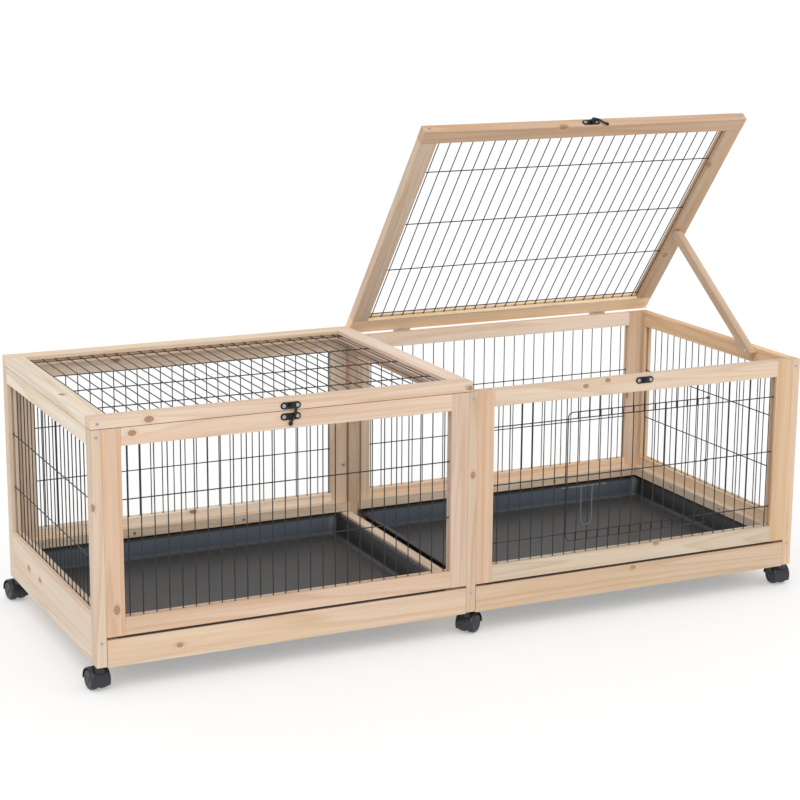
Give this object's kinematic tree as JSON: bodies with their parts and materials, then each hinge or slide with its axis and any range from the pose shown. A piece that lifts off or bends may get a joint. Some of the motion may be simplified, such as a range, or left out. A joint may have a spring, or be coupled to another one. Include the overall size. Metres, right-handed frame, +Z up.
{
  "type": "small animal pen",
  "caption": "Long wooden pen for small animals with wire mesh walls, hinged mesh lids, pull-out trays, a wire door, toggle latches and swivel casters.",
  "frame": {"origin": "on the floor, under the middle of the frame", "axes": "+X along the length to the right, -Y to the front, +Z up"},
  "size_m": [1.5511, 0.6272, 0.9829],
  "materials": {
    "pine": "bare planed softwood",
    "black_wire": "satin coated wire",
    "black_latch": "satin black",
    "steel": "zinc plated",
    "tray_plastic": "matt moulded",
    "black_plastic": "semi-gloss moulded",
    "wheel_plastic": "matt tread"
  },
  "bodies": {
    "frame": {"left_side_stiles": "pine", "left_side_rails": "pine", "left_side_mesh": "black_wire", "right_side_stiles": "pine", "right_side_rails": "pine", "right_side_mesh": "black_wire", "middle_posts": "pine", "middle_rails": "pine", "left_back_stiles": "pine", "left_front_stiles": "pine", "left_back_rails": "pine", "left_front_rails": "pine", "left_back_mesh": "black_wire", "left_front_mesh": "black_wire", "right_back_stiles": "pine", "right_front_stiles": "pine", "right_back_rails": "pine", "right_front_rails": "pine", "right_back_mesh": "black_wire", "right_front_mesh": "black_wire", "guide_battens": "pine", "tray_runners": "pine", "hinge_fixed_leaves": "steel", "latch_catches": "black_latch", "frame_screws": "steel", "caster_sockets": "steel"},
    "left_lid": {"left_lid_side_rails": "pine", "left_lid_end_rails": "pine", "left_lid_mesh": "black_wire", "left_lid_screws": "steel", "left_hinge_leaves": "steel", "left_latch_plate": "black_latch"},
    "left_hook": {"left_latch_hook": "black_latch"},
    "left_drawer": {"left_drawer_front": "pine", "left_tray": "tray_plastic"},
    "right_lid": {"right_lid_side_rails": "pine", "right_lid_end_rails": "pine", "right_lid_mesh": "black_wire", "right_lid_screws": "steel", "right_hinge_leaves": "steel", "right_latch_plate": "black_latch"},
    "right_hook": {"right_latch_hook": "black_latch"},
    "right_drawer": {"right_drawer_front": "pine", "right_tray": "tray_plastic"},
    "prop": {"prop_stick": "pine", "prop_screw": "steel"},
    "wire_door": {"wire_door": "black_wire"},
    "bolt": {"door_bolt": "black_wire"},
    "caster_front_left_swivel": {"caster_front_left_fork": "black_plastic"},
    "caster_front_left_roll": {"caster_front_left_wheels": "wheel_plastic"},
    "caster_front_middle_swivel": {"caster_front_middle_fork": "black_plastic"},
    "caster_front_middle_roll": {"caster_front_middle_wheels": "wheel_plastic"},
    "caster_front_right_swivel": {"caster_front_right_fork": "black_plastic"},
    "caster_front_right_roll": {"caster_front_right_wheels": "wheel_plastic"},
    "caster_back_left_swivel": {"caster_back_left_fork": "black_plastic"},
    "caster_back_left_roll": {"caster_back_left_wheels": "wheel_plastic"},
    "caster_back_middle_swivel": {"caster_back_middle_fork": "black_plastic"},
    "caster_back_middle_roll": {"caster_back_middle_wheels": "wheel_plastic"},
    "caster_back_right_swivel": {"caster_back_right_fork": "black_plastic"},
    "caster_back_right_roll": {"caster_back_right_wheels": "wheel_plastic"}
  },
  "joints": [
    {"name": "left_lid_hinge", "type": "hinge", "parent": "frame", "child": "left_lid", "pos_m": [-0.38125, 0.3032, 0.494], "axis": [-1, 0, 0], "range_deg": [0, 100]},
    {"name": "right_lid_hinge", "type": "hinge", "parent": "frame", "child": "right_lid", "pos_m": [0.38125, 0.3032, 0.494], "axis": [-1, 0, 0], "range_deg": [-51.6, 48.4]},
    {"name": "left_hook_pivot", "type": "hinge", "parent": "left_lid", "child": "left_hook", "pos_m": [-0.379, -0.3, 0.5035], "axis": [0, -1, 0], "range_deg": [0, 70]},
    {"name": "right_hook_pivot", "type": "hinge", "parent": "right_lid", "child": "right_hook", "pos_m": [0.383, -0.06403, 0.97262], "axis": [0, -0.6211, 0.7837], "range_deg": [-70, 20]},
    {"name": "prop_pivot", "type": "hinge", "parent": "right_lid", "child": "prop", "pos_m": [0.732, 0.13278, 0.69324], "axis": [-1, 0, 0], "range_deg": [-49, 52]},
    {"name": "left_drawer_slide", "type": "slide", "parent": "frame", "child": "left_drawer", "axis": [0, -1, 0], "range_m": [0, 0.45]},
    {"name": "right_drawer_slide", "type": "slide", "parent": "frame", "child": "right_drawer", "axis": [0, -1, 0], "range_m": [0, 0.45]},
    {"name": "wire_door_hinge", "type": "hinge", "parent": "frame", "child": "wire_door", "pos_m": [0.5426, -0.2909, 0.298], "axis": [0, 0, 1], "range_deg": [0, 120]},
    {"name": "bolt_slide", "type": "slide", "parent": "wire_door", "child": "bolt", "axis": [1, 0, 0], "range_m": [0, 0.014]},
    {"name": "caster_front_left_swivel", "type": "hinge", "parent": "frame", "child": "caster_front_left_swivel", "pos_m": [-0.75, -0.28, 0.05], "axis": [0, 0, 1], "continuous": true},
    {"name": "caster_front_left_roll", "type": "hinge", "parent": "caster_front_left_swivel", "child": "caster_front_left_roll", "pos_m": [-0.75167, -0.26812, 0.02], "axis": [0.9903, 0.1392, 0], "continuous": true},
    {"name": "caster_front_middle_swivel", "type": "hinge", "parent": "frame", "child": "caster_front_middle_swivel", "pos_m": [0, -0.28, 0.05], "axis": [0, 0, 1], "continuous": true},
    {"name": "caster_front_middle_roll", "type": "hinge", "parent": "caster_front_middle_swivel", "child": "caster_front_middle_roll", "pos_m": [0.00983, -0.27312, 0.02], "axis": [0.5736, -0.8192, 0], "continuous": true},
    {"name": "caster_front_right_swivel", "type": "hinge", "parent": "frame", "child": "caster_front_right_swivel", "pos_m": [0.75, -0.28, 0.05], "axis": [0, 0, 1], "continuous": true},
    {"name": "caster_front_right_roll", "type": "hinge", "parent": "caster_front_right_swivel", "child": "caster_front_right_roll", "pos_m": [0.75084, -0.26803, 0.02], "axis": [0.9976, -0.0698, 0], "continuous": true},
    {"name": "caster_back_left_swivel", "type": "hinge", "parent": "frame", "child": "caster_back_left_swivel", "pos_m": [-0.75, 0.28, 0.05], "axis": [0, 0, 1], "continuous": true},
    {"name": "caster_back_left_roll", "type": "hinge", "parent": "caster_back_left_swivel", "child": "caster_back_left_roll", "pos_m": [-0.75208, 0.29182, 0.02], "axis": [0.9848, 0.1736, 0], "continuous": true},
    {"name": "caster_back_middle_swivel", "type": "hinge", "parent": "frame", "child": "caster_back_middle_swivel", "pos_m": [0, 0.28, 0.05], "axis": [0, 0, 1], "continuous": true},
    {"name": "caster_back_middle_roll", "type": "hinge", "parent": "caster_back_middle_swivel", "child": "caster_back_middle_roll", "pos_m": [0.006, 0.29039, 0.02], "axis": [0.866, -0.5, 0], "continuous": true},
    {"name": "caster_back_right_swivel", "type": "hinge", "parent": "frame", "child": "caster_back_right_swivel", "pos_m": [0.75, 0.28, 0.05], "axis": [0, 0, 1], "continuous": true},
    {"name": "caster_back_right_roll", "type": "hinge", "parent": "caster_back_right_swivel", "child": "caster_back_right_roll", "pos_m": [0.75311, 0.29159, 0.02], "axis": [0.9659, -0.2588, 0], "continuous": true}
  ],
  "couplings": [
    {"joint": "prop_pivot", "follows": "right_lid_hinge", "ratio": -1}
  ]
}
